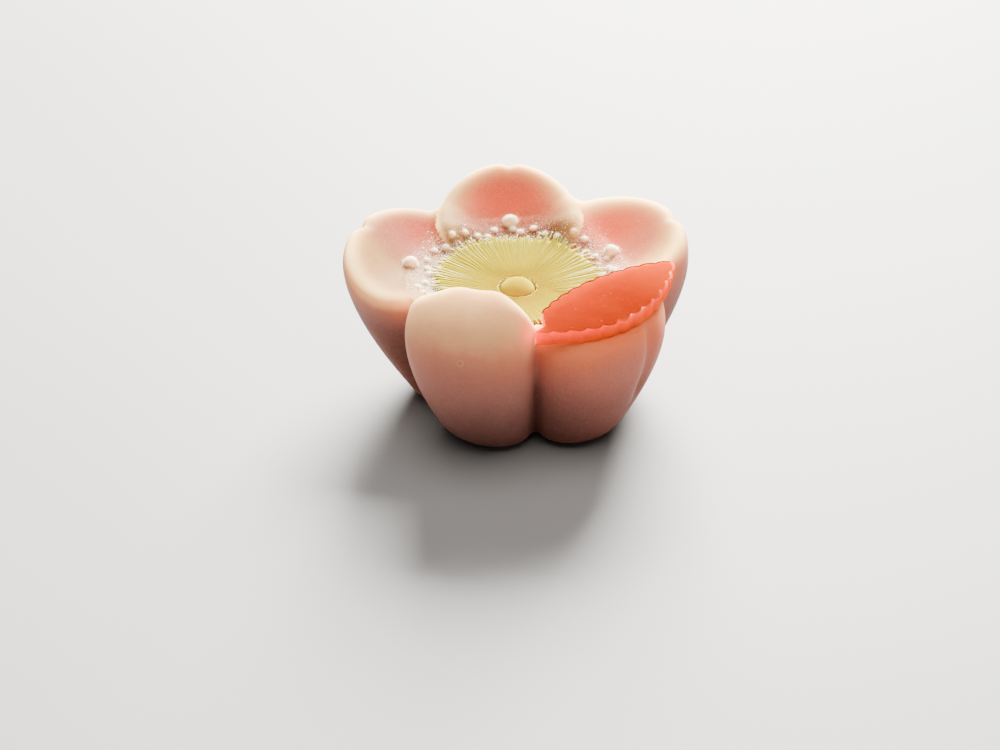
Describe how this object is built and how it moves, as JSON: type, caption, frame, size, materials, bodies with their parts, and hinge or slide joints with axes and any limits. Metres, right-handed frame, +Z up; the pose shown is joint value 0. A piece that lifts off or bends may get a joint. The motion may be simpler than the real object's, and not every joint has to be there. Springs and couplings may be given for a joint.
{
  "type": "wagashi flower sweet",
  "caption": "Moulded bean paste sweet shaped as a plum blossom, with dished petals, a yellow stamen disc, a pistil and a pinked jelly leaf on the rim.",
  "frame": {"origin": "middle of the flat base, on the table, straight below the pistil", "axes": "+Z up through the pistil, -Y towards the side where the leaf lies, +X to the right seen from that side"},
  "size_m": [0.0505, 0.049, 0.0282],
  "materials": {
    "petal_paste": "satin bean paste, cream at the rims and salmon pink in the hollows",
    "stamen_paste": "yellow bean paste with fine combed ridges",
    "pistil_paste": "deeper yellow bean paste, smooth",
    "leaf_jelly": "clear orange-red jelly, wet gloss"
  },
  "bodies": {
    "root": {"petals": "petal_paste", "stamen_disc": "stamen_paste", "pistil": "pistil_paste", "jelly_leaf": "leaf_jelly"}
  },
  "joints": []
}
